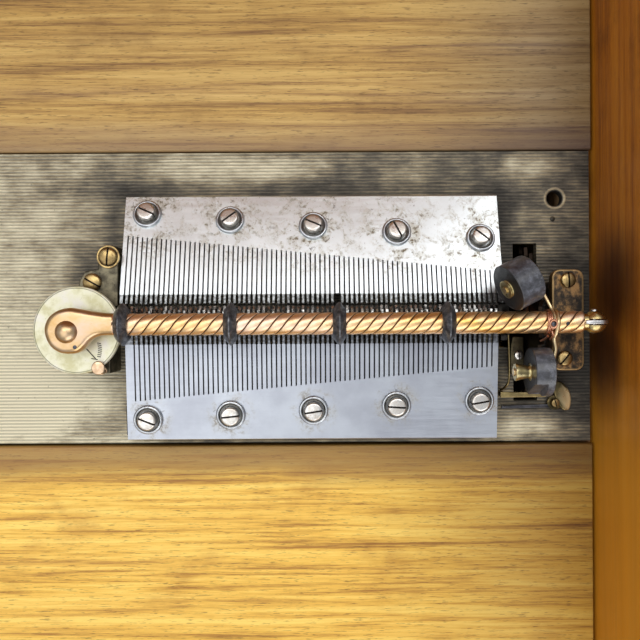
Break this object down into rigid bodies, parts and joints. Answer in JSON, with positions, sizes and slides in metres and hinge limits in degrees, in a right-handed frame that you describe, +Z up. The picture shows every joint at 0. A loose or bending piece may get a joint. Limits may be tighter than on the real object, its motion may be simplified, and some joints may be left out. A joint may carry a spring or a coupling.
{
  "type": "disc music box",
  "caption": "Wooden tabletop disc music box with an open lid, facing combs, star wheels, hinged twisted pressure bar with rollers, spring motor and side crank.",
  "frame": {"origin": "middle of the case's base, on the table", "axes": "+Z up, +X to the right-hand side with the crank and the bar's hinge, -Y to the front, lid hinge at +Y; the disc's axis is x = 0, y = 0"},
  "size_m": [0.5841, 0.6251, 0.659],
  "materials": {
    "oak": "waxed golden brown oak",
    "case_wood": "polished reddish brown wood",
    "bed_bronze": "bronze painted ribbed casting, worn",
    "comb_bright": "bright plated steel",
    "comb_grey": "bluish grey plated steel",
    "base_iron": "black iron",
    "steel": "machined steel",
    "dark_steel": "blued dark steel",
    "copper_gold": "copper coloured plating, worn",
    "brass": "brass",
    "pale_brass": "pale brass, engraved",
    "rubber": "worn black rubber",
    "knob_wood": "black stained turned wood"
  },
  "bodies": {
    "case": {"plinth": "case_wood", "bottom_board": "case_wood", "case_front": "case_wood", "case_back": "case_wood", "case_left": "case_wood", "case_right": "case_wood", "bed_rails": "case_wood", "deck_rear": "oak", "deck_front": "oak", "bedplate": "bed_bronze", "bed_screws": "brass", "comb_rear": "comb_bright", "comb_front": "comb_grey", "comb_base_rear": "base_iron", "comb_base_front": "base_iron", "comb_washers": "steel", "comb_screws": "steel", "star_gantry": "brass", "damper_rails": "dark_steel", "centre_bracket": "base_iron", "centre_spindle": "steel", "hinge_bracket": "bed_bronze", "hinge_tongue": "steel", "hinge_pin": "steel", "bracket_screws": "brass", "motor_frame": "brass", "crank_bush": "brass", "lid_hinges": "brass"},
    "lid": {"lid_front": "case_wood", "lid_back": "case_wood", "lid_left": "case_wood", "lid_right": "case_wood", "lid_panel": "case_wood", "lid_leaves": "brass"},
    "stars_inner": {"star_bank_inner": "steel"},
    "stars_outer": {"star_bank_outer": "steel"},
    "turntable": {"turntable": "pale_brass"},
    "index": {"index_lever": "brass"},
    "bar": {"twisted_bar": "copper_gold", "clevis_end": "brass", "centre_boss": "copper_gold", "roller_clamp": "copper_gold"},
    "roller_1": {"bar_roller_1": "dark_steel"},
    "roller_2": {"bar_roller_2": "dark_steel"},
    "roller_3": {"bar_roller_3": "dark_steel"},
    "roller_4": {"bar_roller_4": "dark_steel"},
    "drum_rear": {"edge_roller_rear": "rubber", "edge_hub_rear": "brass"},
    "drum_front": {"edge_roller_front": "rubber", "edge_hub_front": "brass"},
    "barrel": {"spring_barrel": "brass"},
    "drive": {"drive_shaft": "steel", "drive_sprocket": "brass"},
    "middle": {"middle_arbor": "steel"},
    "fly": {"governor_fly": "steel"},
    "winding": {"winding_arbor": "steel", "crank_arm": "steel"},
    "grip": {"crank_grip": "knob_wood"},
    "click": {"click": "steel"},
    "start": {"start_lever": "brass"}
  },
  "joints": [
    {"name": "lid_hinge", "type": "hinge", "parent": "case", "child": "lid", "pos_m": [0, 0.239, 0.19225], "axis": [-1, 0, 0], "range_deg": [-100, 0]},
    {"name": "bar_hinge", "type": "hinge", "parent": "case", "child": "bar", "pos_m": [0.22325, 0.0024, 0.17615], "axis": [0, 1, 0], "range_deg": [0, 75]},
    {"name": "roller_1_spin", "type": "hinge", "parent": "bar", "child": "roller_1", "pos_m": [0.02295, 0.0024, 0.17615], "axis": [1, 0, 0], "continuous": true},
    {"name": "roller_2_spin", "type": "hinge", "parent": "bar", "child": "roller_2", "pos_m": [0.06895, 0.0024, 0.17615], "axis": [1, 0, 0], "continuous": true},
    {"name": "roller_3_spin", "type": "hinge", "parent": "bar", "child": "roller_3", "pos_m": [0.11495, 0.0024, 0.17615], "axis": [1, 0, 0], "continuous": true},
    {"name": "roller_4_spin", "type": "hinge", "parent": "bar", "child": "roller_4", "pos_m": [0.16095, 0.0024, 0.17615], "axis": [1, 0, 0], "continuous": true},
    {"name": "drum_rear_spin", "type": "hinge", "parent": "bar", "child": "drum_rear", "pos_m": [0.1908, 0.019, 0.1786], "axis": [0.8758, 0.4271, -0.225], "continuous": true},
    {"name": "drum_front_spin", "type": "hinge", "parent": "bar", "child": "drum_front", "pos_m": [0.201, -0.0186, 0.1773], "axis": [1, 0, 0], "continuous": true},
    {"name": "turntable_spin", "type": "hinge", "parent": "case", "child": "turntable", "pos_m": [0, 0, 0.165], "axis": [0, 0, 1], "continuous": true},
    {"name": "index_swing", "type": "hinge", "parent": "case", "child": "index", "pos_m": [0, 0, 0.1615], "axis": [0, 0, 1], "range_deg": [-15, 15]},
    {"name": "stars_inner_spin", "type": "hinge", "parent": "case", "child": "stars_inner", "pos_m": [0.065, 0.00455, 0.1595], "axis": [1, 0, 0], "continuous": true},
    {"name": "stars_outer_spin", "type": "hinge", "parent": "case", "child": "stars_outer", "pos_m": [0.15, 0.00455, 0.1595], "axis": [1, 0, 0], "continuous": true},
    {"name": "barrel_turn", "type": "hinge", "parent": "case", "child": "barrel", "pos_m": [0.165, 0.0024, 0.082], "axis": [1, 0, 0], "continuous": true},
    {"name": "drive_turn", "type": "hinge", "parent": "case", "child": "drive", "pos_m": [0.17, 0.0024, 0.132], "axis": [1, 0, 0], "continuous": true},
    {"name": "middle_turn", "type": "hinge", "parent": "case", "child": "middle", "pos_m": [0.17, -0.04566, 0.09578], "axis": [1, 0, 0], "continuous": true},
    {"name": "fly_turn", "type": "hinge", "parent": "case", "child": "fly", "pos_m": [0.19995, -0.06906, 0.08], "axis": [0, 0, 1], "continuous": true},
    {"name": "crank_turn", "type": "hinge", "parent": "case", "child": "winding", "pos_m": [0.26, 0.0024, 0.082], "axis": [1, 0, 0], "continuous": true},
    {"name": "grip_spin", "type": "hinge", "parent": "winding", "child": "grip", "pos_m": [0.295, -0.0596, 0.082], "axis": [1, 0, 0], "continuous": true},
    {"name": "click_lift", "type": "hinge", "parent": "case", "child": "click", "pos_m": [0.2155, 0.0214, 0.094], "axis": [1, 0, 0], "range_deg": [0, 6]},
    {"name": "start_swing", "type": "hinge", "parent": "case", "child": "start", "pos_m": [0.217, -0.0356, 0.1418], "axis": [0, 0, 1], "range_deg": [-8, 10]}
  ],
  "couplings": [
    {"joint": "drive_turn", "follows": "barrel_turn", "ratio": -5.25},
    {"joint": "middle_turn", "follows": "barrel_turn", "ratio": -5.25},
    {"joint": "fly_turn", "follows": "barrel_turn", "ratio": 126}
  ]
}
